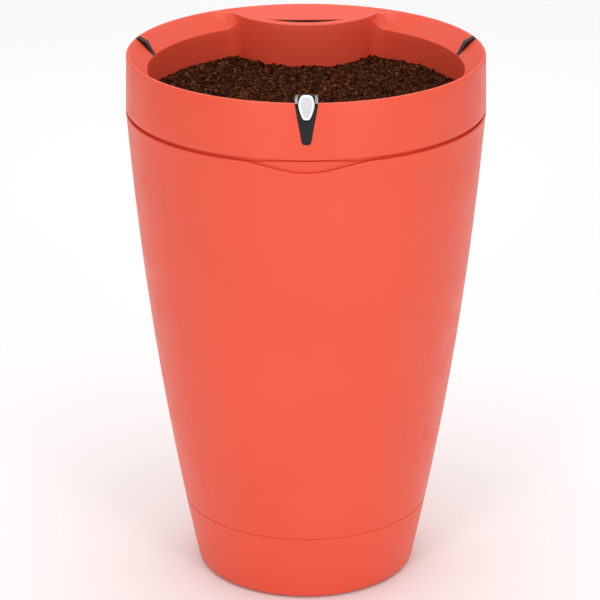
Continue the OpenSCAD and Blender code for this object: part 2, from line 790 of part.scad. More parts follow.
module control_housing() {
    color([0.16, 0.16, 0.17]) difference() {
        union() {
            difference() {
                translate([-house_w / 2, house_front, house_z]) cube([house_w, house_d, house_h]);
                translate([-house_w / 2 + house_wall, house_front + house_wall, house_z + house_wall])
                    cube([house_w - 2 * house_wall, house_d, house_h - 2 * house_wall]);
            }
            for (x = [-1, 1]) for (z = [house_z + 4, house_top - 4])
                translate([x * cover_screw_x, house_front + 1, z]) rotate([-90, 0, 0])
                    cylinder(d = cover_post_d, h = house_d - 1, $fn = 24);
            // shelf posts for the board
            for (z = [board_z + 4, board_z + board_h - 4]) translate([0, house_front + 1, z])
                rotate([-90, 0, 0]) cylinder(d = 4, h = board_y - house_front - 1 - touch, $fn = 24);
        }
        for (x = [-1, 1]) for (z = [house_z + 4, house_top - 4])
            translate([x * cover_screw_x, house_front + 3, z]) rotate([-90, 0, 0])
                cylinder(d = cover_screw_d + 0.1, h = far, $fn = 24);
        for (hand = [-1, 1]) translate([hand * probe_x, house_front - 1, probe_z]) rotate([-90, 0, 0])
            cylinder(d = probe_d + 2 * touch, h = house_wall + 2, $fn = 24);
    }
}

module cover_plan(grow = 0) {
    translate([-house_w / 2 - grow, house_z - grow]) square([house_w + 2 * grow, house_h + 2 * grow]);
}

module cover_holes(d) {
    for (x = [-1, 1]) for (z = [house_z + 4, house_top - 4]) translate([x * cover_screw_x, z])
        circle(d = d, $fn = 24);
}

module housing_gasket() {
    color("black") plate(house_back + touch, gasket_t) difference() {
        cover_plan();
        difference() {
            cover_plan(-house_wall);
            cover_holes(cover_post_d);
        }
        cover_holes(cover_screw_d + 0.3);
    }
}

module housing_cover() {
    color([0.16, 0.16, 0.17]) plate(house_back + gasket_t + 2 * touch, cover_t) difference() {
        cover_plan(0.6);
        cover_holes(cover_screw_d + 0.3);
    }
}

module cover_screws() {
    y = house_back + gasket_t + cover_t + 3 * touch;
    color("silver") for (x = [-1, 1]) for (z = [house_z + 4, house_top - 4])
        translate([x * cover_screw_x, y, z]) rotate([-90, 0, 0]) {
            cylinder(d = 4, h = 1.4, $fn = 24);
            translate([0, 0, -10]) cylinder(d = cover_screw_d, h = 10.4, $fn = 24);
        }
}

module control_board() {
    color("darkgreen") translate([-board_w / 2, board_y, board_z]) cube([board_w, board_t, board_h]);
}

module board_parts() {
    color("dimgray") translate([0, board_y + board_t + touch, 0]) {
        translate([-6, 0, board_z + board_h / 2]) cube([12, 1.4, 12]);
        translate([-board_w / 2 + 2, 0, board_z + 6]) cube([8, 3, 5]);
        translate([board_w / 2 - 10, 0, board_z + 6]) cube([8, 3, 5]);
        translate([-4, 0, board_z + board_h - 12]) cube([8, 1, 9]);
    }
}

module moisture_probes() {
    from = lobe_face - probe_reach;
    color("gold") for (hand = [-1, 1]) translate([hand * probe_x, from, probe_z]) rotate([-90, 0, 0])
        cylinder(d = probe_d, h = board_y - touch - from, $fn = 24);
}

module probe_seals() {
    color("black") for (hand = [-1, 1]) translate([hand * probe_x, lobe_face - 0.5, probe_z])
        rotate([-90, 0, 0]) difference() {
            cylinder(d = seal_hole_d - 2 * touch, h = pot_wall + 2, $fn = 24);
            translate([0, 0, -1]) cylinder(d = probe_d + 2 * touch, h = 20, $fn = 24);
        }
}

// ---------- battery ----------

module battery_capsule() {
    color([0.16, 0.16, 0.17]) translate([0, capsule_y, 0]) difference() {
        translate([0, 0, capsule_z]) cylinder(r = capsule_r, h = pot_z - touch - capsule_z);
        translate([0, 0, capsule_z - 1])
            cylinder(r = capsule_in_r, h = pot_z - capsule_top_t - capsule_z + 1);
        translate([0, 0, cap_seal_z]) rotate_extrude()
            translate([capsule_r - cap_seal_groove, -cap_seal_r - 0.1]) square([5, 2 * cap_seal_r + 0.2]);
    }
}

module battery_cells() {
    color("goldenrod") for (i = [0:3]) translate([0, capsule_y, cells_z]) rotate([0, 0, 45 + 90 * i])
        translate([cluster_r, 0, 0]) {
            cylinder(d = cell_d, h = cell_l, $fn = 48);
            cylinder(d = 5, h = cell_l + nub_h, $fn = 24);
        }
}

module battery_contacts() {
    color("silver") for (hand = [-1, 1]) translate([hand * cluster_r / sqrt(2) - cell_d / 4,
        capsule_y - cluster_r / sqrt(2) - 3, pot_z - capsule_top_t - contact_t + touch])
            translate([0, 0, -2 * touch]) cube([cell_d / 2, cluster_r * sqrt(2) + 6, contact_t]);
}

module battery_cap() {
    color([0.16, 0.16, 0.17]) translate([0, capsule_y, cap_z]) difference() {
        cylinder(r = cap_r, h = cap_h);
        translate([0, 0, cap_floor_t]) cylinder(r = cap_in_r, h = cap_h);
        for (i = [0:11]) rotate([0, 0, 30 * i]) translate([cap_r + 0.8, 0, -1])
            cylinder(d = 3, h = cap_h - 2, $fn = 24);
    }
}

module cap_contacts() {
    color("silver") for (hand = [-1, 1]) translate([-cluster_r / sqrt(2) - 3,
        capsule_y + hand * cluster_r / sqrt(2) - cell_d / 4, cap_z + cap_floor_t + touch])
            cube([cluster_r * sqrt(2) + 6, cell_d / 2, contact_t]);
}

module cap_seal() {
    color("black") translate([0, capsule_y, cap_seal_z]) rotate_extrude()
        translate([capsule_r - cap_seal_groove + cap_seal_r + touch, 0]) circle(r = cap_seal_r, $fn = 24);
}

// ---------- pump ----------

module pump_stem() {
    color([0.16, 0.16, 0.17]) translate([0, pump_y, 0]) difference() {
        union() {
            translate([0, 0, stem_z + touch]) cylinder(d = stem_d, h = pot_z - stem_z - 2 * touch);
            translate([0, 0, pot_z - 4]) cylinder(d = stem_d + 8, h = 4 - touch);
        }
        translate([0, 0, stem_z - 1]) cylinder(d = stem_bore, h = pot_z - stem_z - 4);
    }
}

module pump_motor() {
    color([0.2, 0.2, 0.22]) translate([0, pump_y, motor_z + touch]) difference() {
        union() {
            cylinder(r = pump_r - 1, h = motor_h - 4);
            translate([0, 0, motor_h - 4]) cylinder(r1 = pump_r - 1, r2 = stem_d / 2 + 2, h = 4 - touch);
        }
        translate([0, 0, -1]) cylinder(d = shaft_d + 2 * touch, h = 9, $fn = 32);
    }
}

module pump_chamber() {
    color([0.16, 0.16, 0.17]) difference() {
        union() {
            translate([0, pump_y, chamber_z]) cylinder(r = pump_r, h = chamber_h);
            rod([-pump_r + 1, pump_y, barb_z], [-pump_r - barb_l, pump_y, barb_z], hose_bore - 2 * touch);
        }
        translate([0, pump_y, chamber_z - 1]) cylinder(r = pump_r - pump_wall, h = chamber_h - 0.6);
        translate([0, pump_y, chamber_z]) cylinder(d = shaft_d + 2 * touch, h = far, $fn = 32);
        rod([-pump_r + 3, pump_y, barb_z], [-pump_r - barb_l - 1, pump_y, barb_z], barb_bore);
    }
}

module pump_cover() {
    color([0.16, 0.16, 0.17]) translate([0, pump_y, pump_z]) difference() {
        cylinder(r = pump_r, h = pump_cover_t - touch);
        for (i = [0:7]) rotate([0, 0, 45 * i]) translate([inlet_r, 0, -1])
            cylinder(d = 3, h = pump_cover_t + 2, $fn = 24);
        translate([0, 0, -1]) cylinder(d = 3, h = pump_cover_t + 2, $fn = 24);
    }
}

module pump_shaft() {
    color("silver") translate([0, pump_y, shaft_z])
        cylinder(d = shaft_d, h = motor_z + 7 - shaft_z, $fn = 32);
}

module pump_rotor() {
    low = shaft_z + 0.8;
    high = motor_z - 1.6 - 0.8;
    color("white") translate([0, pump_y, 0]) difference() {
        union() {
            translate([0, 0, low]) cylinder(d = 8, h = high - low, $fn = 48);
            translate([0, 0, low + (high - low) * 0.55]) cylinder(r = rotor_r - 1, h = 1.2);
            for (i = [0:5]) rotate([0, 0, 60 * i]) translate([0, -0.6, low + 0.6])
                cube([rotor_r, 1.2, (high - low) - 1.2]);
        }
        translate([0, 0, low - 1]) cylinder(d = shaft_d + 2 * spin_gap, h = far, $fn = 32);
    }
}

// ---------- cables ----------

module pump_cable() {
    color("dimgray") cable([[cable_x, pump_y + 1, stem_z + 0.4], [cable_x, pump_y + 6, stem_z + 12],
        [cable_x, pump_y + 6, cable_z - 12], [cable_x, cable_y, cable_z],
        [cable_x, cable_y, house_z - touch]], cable_d);
}

module battery_cable() {
    side_y = capsule_y + sqrt(capsule_r * capsule_r - cable_x * cable_x) + 1;
    color("dimgray") cable([[-cable_x, side_y, cable_z], [-cable_x - 3, pump_y - 8, cable_z],
        [-cable_x - 3, pump_y + 8, cable_z], [-cable_x, cable_y, cable_z],
        [-cable_x, cable_y, house_z - touch]], cable_d);
}

module sensor_cable() {
    z = sensor_cable_z;
    from = sensor_cable_from;
    end = polar(sensor_cable_to, sensor_cable_r, z);
    plug = [house_w / 2 + cable_small / 2, house_back - 4, z];
    color("dimgray") {
        translate([0, 0, z]) part_ring(from, sensor_cable_to, sensor_cable_r, cable_small);
        run([[sensor_cable_x, sensor_cable_y, rim_z - 0.3], [sensor_cable_x, sensor_cable_y, rim_z - 13],
            polar(from, sensor_cable_r, z + 6), polar(from, sensor_cable_r, z)], cable_small);
        bend(polar(from, sensor_cable_r, z), [0, 0, -1], polar(from + 90, 1, 0), cable_small);
        bend(end, polar(sensor_cable_to + 90, 1, 0), plug - end, cable_small);
        rod(end, plug, cable_small);
    }
}

tank_shell();
base_cup();
base_seal();
rubber_feet();
drain_plug();
rim_ring();
inner_pot();
potting_soil();
drain_grate();
rim_screws();
fill_basket();
sensor_body();
sensor_ears();
lens_frame();
light_lens();
sensor_board();
nozzle_front();
nozzle_right();
nozzle_left();
ring_hose();
hose_clips();
riser_hose();
control_housing();
housing_gasket();
housing_cover();
cover_screws();
control_board();
board_parts();
moisture_probes();
probe_seals();
battery_capsule();
battery_cells();
battery_contacts();
battery_cap();
cap_contacts();
cap_seal();
pump_stem();
pump_motor();
pump_chamber();
pump_cover();
pump_shaft();
pump_rotor();
pump_cable();
battery_cable();
sensor_cable();
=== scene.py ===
# %% [markdown]
# # A self-watering planter
# The planter is a tall moulded tank with a planting insert standing in it. The solid model gives every
# piece its place and size. This lesson gives those pieces their finish, and rebuilds the large moulded
# shells, the sensor's face, the soil, the riser hose and two cables as smooth meshes with soft edges.

# %% Load the solid model
import json
import math

import bmesh
import bpy
import numpy as np
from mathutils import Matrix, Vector


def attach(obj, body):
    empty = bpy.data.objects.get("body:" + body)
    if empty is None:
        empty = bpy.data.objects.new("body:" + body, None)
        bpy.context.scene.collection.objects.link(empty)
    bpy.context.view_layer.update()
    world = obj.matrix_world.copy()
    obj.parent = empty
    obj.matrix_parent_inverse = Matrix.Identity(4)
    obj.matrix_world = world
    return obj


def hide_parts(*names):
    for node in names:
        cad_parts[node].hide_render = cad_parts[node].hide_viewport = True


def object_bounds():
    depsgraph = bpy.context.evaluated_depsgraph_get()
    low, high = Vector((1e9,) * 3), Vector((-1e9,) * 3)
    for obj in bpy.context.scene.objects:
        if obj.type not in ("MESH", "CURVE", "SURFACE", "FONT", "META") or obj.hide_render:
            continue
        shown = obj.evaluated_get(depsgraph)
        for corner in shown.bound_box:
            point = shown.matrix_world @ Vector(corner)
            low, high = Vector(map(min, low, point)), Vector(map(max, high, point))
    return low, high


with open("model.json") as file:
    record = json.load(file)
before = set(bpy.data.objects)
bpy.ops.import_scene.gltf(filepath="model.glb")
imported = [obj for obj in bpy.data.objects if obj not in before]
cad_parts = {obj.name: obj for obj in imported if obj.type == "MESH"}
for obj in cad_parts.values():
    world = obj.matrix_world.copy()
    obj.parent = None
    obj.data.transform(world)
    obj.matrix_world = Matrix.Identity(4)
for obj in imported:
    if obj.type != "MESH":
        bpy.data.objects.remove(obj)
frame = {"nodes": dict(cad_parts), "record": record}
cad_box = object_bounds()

nodes = frame["nodes"]

# %% [markdown]
# ## Sizes
# The main sizes are written once, in millimetres, as the maker's drawing would give them. Blender works
# in metres, so every mesh is scaled by MM as it is made.

# %% Name the sizes
MM = 0.001
RIM_Z = 314.0
RIM_R = 101.5
RIM_FLARE = 0.8
BAND_R = RIM_R + RIM_FLARE
BAND_H = 31.4
SHOULDER_Z = RIM_Z - BAND_H
BASE_R = 64.0
BULGE = 5.0
WALL = 3.2
SEAM_Z = 42.5
EDGE_Z = SHOULDER_Z - 2.2
LEDGE_Z = SHOULDER_Z - 24
LIP_WALL = 1.2
DIP_H = 5.4
DIP_ANGLE = 22.0
SLOPE_OUT = RIM_R - 1.6
SLOPE_IN = RIM_R - 11.8
SLOPE_DROP = 9.6
POT_TOP = RIM_Z - SLOPE_DROP - 2.4
SOIL_Z = RIM_Z - 25.5
LOBE_R = 48.0
LOBE_Y = RIM_R - 45 + LOBE_R
LIP_BACK_R = LOBE_R - 6
SLOT_Y = LOBE_Y - LIP_BACK_R + 10
POT_Z = RIM_Z - 178
POT_WALL = 2.4
POT_GAP = 7.0
TAPER_TOP = SHOULDER_Z - 8
GRATE_TOP = 146.4


def tank_r(z):
    """Radius of the tank's outside at a height, in millimetres."""
    s = z / SHOULDER_Z
    return BASE_R + (BAND_R - BASE_R) * s + 4 * BULGE * s * (1 - s)


def pot_in(z):
    """Radius of the pot's inside at a height, away from the filling lobe."""
    foot = tank_r(POT_Z) - WALL - POT_GAP - POT_WALL
    return foot + (SLOPE_IN - foot) * (z - POT_Z) / (TAPER_TOP - POT_Z)


low, high = cad_box
print("solid model is", [round((b - a) / MM, 1) for a, b in zip(low, high)], "mm")

# %% [markdown]
# ## Finishes
# Moulded plastic is never one flat colour: the pigment clouds a little, the mould leaves a very fine
# grain, and the gloss changes from place to place. A noise texture on Object coordinates drives small
# changes of colour, roughness and bump, so the pattern stays put when a piece moves.


# %% A moulded plastic
def new_material(name):
    """An empty material with one shader wired to its output."""
    material = bpy.data.materials.new(name)
    material.use_nodes = True
    tree = material.node_tree
    tree.nodes.clear()
    out = tree.nodes.new("ShaderNodeOutputMaterial")
    shader = tree.nodes.new("ShaderNodeBsdfPrincipled")
    tree.links.new(shader.outputs["BSDF"], out.inputs["Surface"])
    return material, tree, shader


def linear(rgb):
    """Screen colour, 0 to 255, as the linear colour that a shader takes."""
    return [((c / 255 + 0.055) / 1.055) ** 2.4 if c > 10 else c / 255 / 12.92 for c in rgb]


def noise(tree, scale, detail=3.0, roughness=0.5):
    """A noise that is fixed to the piece, through its Object coordinates."""
    place = tree.nodes.new("ShaderNodeTexCoord")
    texture = tree.nodes.new("ShaderNodeTexNoise")
    texture.inputs["Scale"].default_value = scale
    texture.inputs["Detail"].default_value = detail
    texture.inputs["Roughness"].default_value = roughness
    tree.links.new(place.outputs["Object"], texture.inputs["Vector"])
    return texture.outputs["Fac"]


def spread(tree, value, low, high):
    """Takes a noise value to a range."""
    node = tree.nodes.new("ShaderNodeMapRange")
    node.inputs["From Min"].default_value = 0.3
    node.inputs["From Max"].default_value = 0.7
    node.inputs["To Min"].default_value = low
    node.inputs["To Max"].default_value = high
    tree.links.new(value, node.inputs["Value"])
    return node.outputs["Result"]


def mix(tree, value, first, second):
    """A colour between two, chosen by a value from 0 to 1."""
    node = tree.nodes.new("ShaderNodeMix")
    node.data_type = "RGBA"
    node.inputs[6].default_value = (*first, 1)
    node.inputs[7].default_value = (*second, 1)
    tree.links.new(value, node.inputs[0])
    return node.outputs[2]


def bump(tree, shader, height, distance, strength):
    """Lets a height texture tilt the shader's normal."""
    node = tree.nodes.new("ShaderNodeBump")
    node.inputs["Distance"].default_value = distance
    node.inputs["Strength"].default_value = strength
    tree.links.new(height, node.inputs["Height"])
    tree.links.new(node.outputs["Normal"], shader.inputs["Normal"])


def plastic(name, rgb, gloss, grain, metallic=0.0, cloud=0.06, shine=0.5):
    """A moulded finish. gloss is the mean roughness and grain the depth of the mould's texture."""
    material, tree, shader = new_material(name)
    base = linear(rgb)
    darker = [c * (1 - cloud) for c in base]
    lighter = [min(1, c * (1 + cloud)) for c in base]
    clouds = noise(tree, 14)
    tree.links.new(mix(tree, spread(tree, clouds, 0, 1), darker, lighter), shader.inputs["Base Color"])
    handled = noise(tree, 60, 2)
    tree.links.new(spread(tree, handled, gloss * 0.88, gloss * 1.12), shader.inputs["Roughness"])
    bump(tree, shader, noise(tree, 1500, 2, 0.6), 0.0004, grain)
    shader.inputs["Metallic"].default_value = metallic
    shader.inputs["Specular IOR Level"].default_value = shine
    return material


FINISH = {
    "coral_plastic": plastic("coral_plastic", (236, 86, 61), 0.4, 0.05, cloud=0.025, shine=0.33),
    "rubber": plastic("rubber", (38, 38, 38), 0.75, 0.3),
    "hose_rubber": plastic("hose_rubber", (62, 66, 70), 0.55, 0.15),
    "cable_rubber": plastic("cable_rubber", (40, 40, 42), 0.6, 0.15),
    "grey_plastic": plastic("grey_plastic", (26, 24, 26), 0.42, 0.2, shine=0.3),
    "black_gloss": plastic("black_gloss", (10, 10, 11), 0.24, 0.04),
    "black_plastic": plastic("black_plastic", (44, 44, 46), 0.48, 0.25),
    "silver_trim": plastic("silver_trim", (168, 168, 170), 0.25, 0.05, metallic=0.8),
    "white_gloss": plastic("white_gloss", (252, 252, 252), 0.15, 0.02, cloud=0.01),
    "lens_grey": plastic("lens_grey", (212, 213, 216), 0.35, 0.2, cloud=0.02),
    "board_green": plastic("board_green", (24, 92, 52), 0.35, 0.1),
    "part_plastic": plastic("part_plastic", (34, 34, 36), 0.4, 0.1),
    "steel": plastic("steel", (190, 192, 195), 0.3, 0.12, metallic=1.0),
    "gold_metal": plastic("gold_metal", (226, 178, 92), 0.28, 0.08, metallic=1.0),
    "cell_wrap": plastic("cell_wrap", (78, 84, 96), 0.3, 0.04),
    "rotor_plastic": plastic("rotor_plastic", (232, 231, 224), 0.45, 0.12),
}
print(len(FINISH), "moulded and metal finishes")

# %% [markdown]
# ## Potting soil
# Soil is a mix of dark fibre, reddish crumbs and pale flecks. A noise chooses between those colours,
# and a strong bump breaks up the shine, because damp crumbs glint only at their edges. Each loose crumb
# also carries a number of its own, kept on the mesh as "tint", which shifts its colour.


# %% The soil finish
def soil_finish():
    """Dark fibre with reddish and pale crumbs."""
    material, tree, shader = new_material("soil")
    fine = noise(tree, 330, 5, 0.7)
    ramp = tree.nodes.new("ShaderNodeValToRGB")
    stops = [(0.24, (12, 4, 1)), (0.42, (38, 16, 7)), (0.6, (74, 36, 18)), (0.82, (132, 80, 48))]
    while len(ramp.color_ramp.elements) < len(stops):
        ramp.color_ramp.elements.new(0.5)
    for element, (place, rgb) in zip(ramp.color_ramp.elements, stops):
        element.position = place
        element.color = (*linear(rgb), 1)
    own = tree.nodes.new("ShaderNodeAttribute")
    own.attribute_name = "tint"
    blend = tree.nodes.new("ShaderNodeMath")
    blend.operation = "MULTIPLY_ADD"
    blend.inputs[1].default_value = 0.24
    tree.links.new(own.outputs["Fac"], blend.inputs[0])
    tree.links.new(spread(tree, fine, 0.2, 0.68), blend.inputs[2])
    tree.links.new(blend.outputs[0], ramp.inputs["Fac"])
    tree.links.new(ramp.outputs["Color"], shader.inputs["Base Color"])
    tree.links.new(spread(tree, noise(tree, 200), 0.75, 0.95), shader.inputs["Roughness"])
    bump(tree, shader, noise(tree, 900, 6, 0.7), 0.0008, 0.8)
    shader.inputs["Specular IOR Level"].default_value = 0.04
    return material


FINISH["soil"] = soil_finish()
for part in frame["record"]["subparts"]:
    node = nodes[part["node"]]
    node.data.materials.clear()
    node.data.materials.append(FINISH[part["material_slot"]])
print("every solid piece has its finish")

# %% [markdown]
# ## Mesh helpers
# The shells are all made in the same way: a list of closed outlines, one for each direction round the
# planter, joined in turn. Edges that turn sharply are marked, so the rest can be shaded smoothly.


# %% Join outlines into a shell
def finish_mesh(name, builder, finish, sharp=32):
    """Turns a bmesh into an object whose soft edges are smooth and whose sharp ones stay crisp."""
    bmesh.ops.remove_doubles(builder, verts=builder.verts, dist=1e-7)
    bmesh.ops.recalc_face_normals(builder, faces=builder.faces)
    for face in builder.faces:
        face.smooth = True
    for edge in builder.edges:
        edge.smooth = len(edge.link_faces) == 2 and edge.calc_face_angle() < math.radians(sharp)
    mesh = bpy.data.meshes.new(name)
    builder.to_mesh(mesh)
    builder.free()
    mesh.materials.append(FINISH[finish])
    piece = bpy.data.objects.new(name, mesh)
    bpy.context.scene.collection.objects.link(piece)
    print(name, len(mesh.polygons), "faces")
    return piece


def shell(name, outlines, finish, sharp=32):
    """Joins closed (radius, height) outlines, given as {angle: points}, round the upright axis."""
    builder = bmesh.new()
    rows = []
    for angle, points in outlines:
        turn = math.radians(angle)
        rows.append([builder.verts.new((r * math.sin(turn) * MM, -r * math.cos(turn) * MM, z * MM))
                     for r, z in points])
    for i, row in enumerate(rows):
        following = rows[(i + 1) % len(rows)]
        for j in range(len(row)):
            k = (j + 1) % len(row)
            builder.faces.new((row[j], following[j], following[k], row[k]))
    return finish_mesh(name, builder, finish, sharp)


def rounded(points, radius, steps):
    """Rounds the corners of an outline, as far as the sides beside each corner leave room."""
    room = 0.45
    result = []
    for i, point in enumerate(points):
        before, after = np.array(points[i - 1]), np.array(points[(i + 1) % len(points)])
        corner = np.array(point)
        to_before, to_after = before - corner, after - corner
        reach = min(radius, np.linalg.norm(to_before) * room, np.linalg.norm(to_after) * room)
        if reach < 0.01:
            result.append(tuple(corner))
            continue
        start = corner + to_before / np.linalg.norm(to_before) * reach
        end = corner + to_after / np.linalg.norm(to_after) * reach
        for k in range(steps + 1):
            t = k / steps
            result.append(tuple((1 - t) ** 2 * start + 2 * t * (1 - t) * corner + t * t * end))
    return result


def side(start, end, inset, steps):
    """Points along the tank's side between two heights."""
    heights = [start + (end - start) * i / steps for i in range(steps + 1)]
    return [(tank_r(z) - inset, z) for z in heights]


# %% [markdown]
# ## The tank shell
# The shell is a turned shape except for the finger dip in its front edge. Each outline follows the
# tank's side up to an edge height that drops in a cosine wave near the front, with a small rolled bead
# along the edge as moulded lips have.


# %% The tank shell
SPIGOT_R = tank_r(SEAM_Z) - 3.6
ROUND_STEPS = 288


def edge_height(angle):
    """Height of the shell's edge, angle degrees from straight front."""
    near = min(abs(angle), DIP_ANGLE) / DIP_ANGLE
    return EDGE_Z - DIP_H * (1 + math.cos(math.pi * near)) / 2


def shell_outline(angle):
    edge = edge_height(angle)
    edge_r = tank_r(edge)
    outer = [(tank_r(SEAM_Z + 0.35) - 0.35, SEAM_Z), (tank_r(SEAM_Z + 0.5), SEAM_Z + 0.5)]
    outer += side(SEAM_Z + 2, edge - 3, 0, 36)
    bead = [(edge_r - 0.05, edge - 2.0), (edge_r + 0.12, edge - 1.4), (edge_r + 0.16, edge - 0.8),
            (edge_r + 0.02, edge - 0.3), (edge_r - 0.3, edge - 0.04), (edge_r - 0.6, edge)]
    inner = [(edge_r - LIP_WALL, edge - 0.3), (tank_r(LEDGE_Z) - LIP_WALL, LEDGE_Z),
             (tank_r(LEDGE_Z) - WALL, LEDGE_Z)]
    inner += side(LEDGE_Z - 2, SEAM_Z + 16, WALL, 20)
    inner += [(SPIGOT_R + 0.15, SEAM_Z + 12), (SPIGOT_R + 0.15, SEAM_Z)]
    return outer + bead + inner


def signed(angle):
    """The same direction as an angle between -180 and 180."""
    return (angle + 180) % 360 - 180


turns = [i * 360 / ROUND_STEPS for i in range(ROUND_STEPS)]
tank_shell = shell("Tank_shell", [(a, shell_outline(signed(a))) for a in turns], "coral_plastic")
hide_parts("tank_shell")
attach(tank_shell, "tank")

# %% [markdown]
# ## The base cup
# The cup closes the tank from below. Its top edge meets the shell at a fine seam, so both edges are
# rounded a little, and the groove between them catches a shadow.

# %% The base cup
FLOOR_Z = 4.8
FLOOR_TOP = FLOOR_Z + 3
DRAIN_R = 7.0
FOOT_PROUD = 0.8
FOOT_R = BASE_R - 11
FOOT_RING = 8.0
CORNER = 3
SEAM_GAP = 0.12
SPIGOT_H = 11
SPIGOT_WALL = 3.4

cup_corner = tank_r(CORNER) - CORNER
cup = [(DRAIN_R, FLOOR_Z), (FOOT_R - FOOT_RING, FLOOR_Z), (FOOT_R - FOOT_RING, FOOT_PROUD)]
cup += [(cup_corner + CORNER * math.sin(math.radians(a)),
         FOOT_PROUD + CORNER - CORNER * math.cos(math.radians(a))) for a in range(0, 91, 15)]
cup += side(FOOT_PROUD + 4, SEAM_Z - 0.9, 0, 8)
cup += [(tank_r(SEAM_Z) - 0.1, SEAM_Z - 0.5), (tank_r(SEAM_Z) - 0.5, SEAM_Z - SEAM_GAP)]
cup += [(SPIGOT_R, SEAM_Z - SEAM_GAP), (SPIGOT_R, SEAM_Z + SPIGOT_H)]
cup += [(SPIGOT_R - SPIGOT_WALL, SEAM_Z + SPIGOT_H), (SPIGOT_R - SPIGOT_WALL, SEAM_Z - 3)]
cup += side(SEAM_Z - 8, FLOOR_TOP + 4, WALL, 5)
cup += [(tank_r(FLOOR_TOP) - WALL - 4, FLOOR_TOP), (DRAIN_R + 4, FLOOR_TOP)]
cup += [(DRAIN_R + 3, FLOOR_TOP + 4), (DRAIN_R, FLOOR_TOP + 4)]
base_cup = shell("Base_cup", [(a, cup) for a in turns], "coral_plastic")
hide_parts("base_cup")
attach(base_cup, "tank")

# %% [markdown]
# ## The rim ring
# The rim is the piece that the eye lands on: a flared band, a rolled top edge and a slope that runs
# down to the pot. At the back the slope climbs over the lobe's lip, with a shallow tray behind it. It
# is built from outlines that point outwards from the middle, like the slices of a cake, so that one
# rule can change gently from slope to lip as the direction turns towards the back.

# %% The lobe's plan
FILLET_R = 8.0
TRAY_FALL = 0.062
LIP_WIDE = LOBE_R - LIP_BACK_R
SIDE_HOLLOW = 9.0
EDGE_HOLLOW = 13.0


def near_edge(turn, middle, radius):
    """Distance to the near side of a circle that lies straight back, looking turn degrees off it."""
    t = math.radians(turn)
    inside = max(radius ** 2 - (middle * math.sin(t)) ** 2, 0)
    return middle * math.cos(t) - math.sqrt(inside)


def fillet_centre(out_r, radius):
    """Where a fillet that touches both the lobe and a circle of out_r has its centre."""
    y = ((out_r - radius) ** 2 - (LOBE_R + radius) ** 2 + LOBE_Y ** 2) / (2 * LOBE_Y)
    return math.sqrt((out_r - radius) ** 2 - y ** 2), y


def wall_reach(turn):
    """Radius of the pot's inner wall: the lobe, then a fillet, then the plain circle."""
    turn = abs(turn)
    x, y = fillet_centre(SLOPE_IN, FILLET_R)
    touch_x = x * LOBE_R / (LOBE_R + FILLET_R)
    touch_y = LOBE_Y + (y - LOBE_Y) * LOBE_R / (LOBE_R + FILLET_R)
    if turn <= math.degrees(math.atan2(touch_x, touch_y)):
        return near_edge(turn, LOBE_Y, LOBE_R)
    if turn >= math.degrees(math.atan2(x, y)):
        return SLOPE_IN
    away, heading = math.hypot(x, y), math.radians(turn) - math.atan2(x, y)
    return away * math.cos(heading) + math.sqrt(FILLET_R ** 2 - (away * math.sin(heading)) ** 2)


angles_back = np.concatenate([np.arange(0, 20, 1.0), np.arange(20, 25, 0.5), np.arange(25, 31, 0.2),
                              np.arange(31, 38, 0.5), np.arange(38, 180, 1.5), [180]])
back_turns = np.concatenate([angles_back, -angles_back[1:-1][::-1]])
print(len(back_turns), "directions round the rim; the lobe's face is", round(wall_reach(0), 1), "mm back")

# %% [markdown]
# ### The height of the rim's top
# Seen from above, the top is a slope all the way round, and the lobe is a flat-topped island that
# stands in it. A hollow fillet joins them: the nearer a point lies to the lobe's side, the higher it
# stands, until it reaches the level of the lip. One formula gives the height at any place.

# %% Height of the top at a place
LIP_LOW = 0.85
TRAY_LOW = 0.3


def ease(t):
    """Goes gently from 0 to 1."""
    t = min(max(t, 0), 1)
    return t * t * (3 - 2 * t)


def lower_of(a, b, softness):
    """The lower of two heights, with the corner between them rounded."""
    near = max(softness - abs(a - b), 0) / softness
    return min(a, b) - near * near * softness / 4


def top_height(turn, r):
    """Height of the rim's top, turn degrees from straight back and r from the middle."""
    x, y = r * math.sin(math.radians(turn)), r * math.cos(math.radians(turn))
    off_side = math.hypot(x, y - LOBE_Y) - LOBE_R
    lip = RIM_Z - LIP_LOW + 0.3 * ease((r - 86) / 12)
    tray = RIM_Z - TRAY_LOW - (SLOPE_OUT - r) * TRAY_FALL
    slope = RIM_Z - SLOPE_DROP + max(r - SLOPE_IN, 0) * SLOPE_DROP / (SLOPE_OUT - SLOPE_IN)
    if off_side < 0:
        return tray + (lip - tray) * ease((off_side + LIP_WIDE + 0.2) / 0.5)
    hollow = SIDE_HOLLOW + (EDGE_HOLLOW - SIDE_HOLLOW) * ease((r - SLOPE_IN) / 5)
    inward = max(hollow - off_side, 0)
    return lower_of(lip, slope + hollow - math.sqrt(hollow ** 2 - inward ** 2), 0.5)


# %% [markdown]
# ### The slices
# Each slice runs up the band, over the rolled edge, inwards along the top, down the pot's wall, and
# back underneath. The wall runs on inside the pot, so that no joint line shows above the soil.

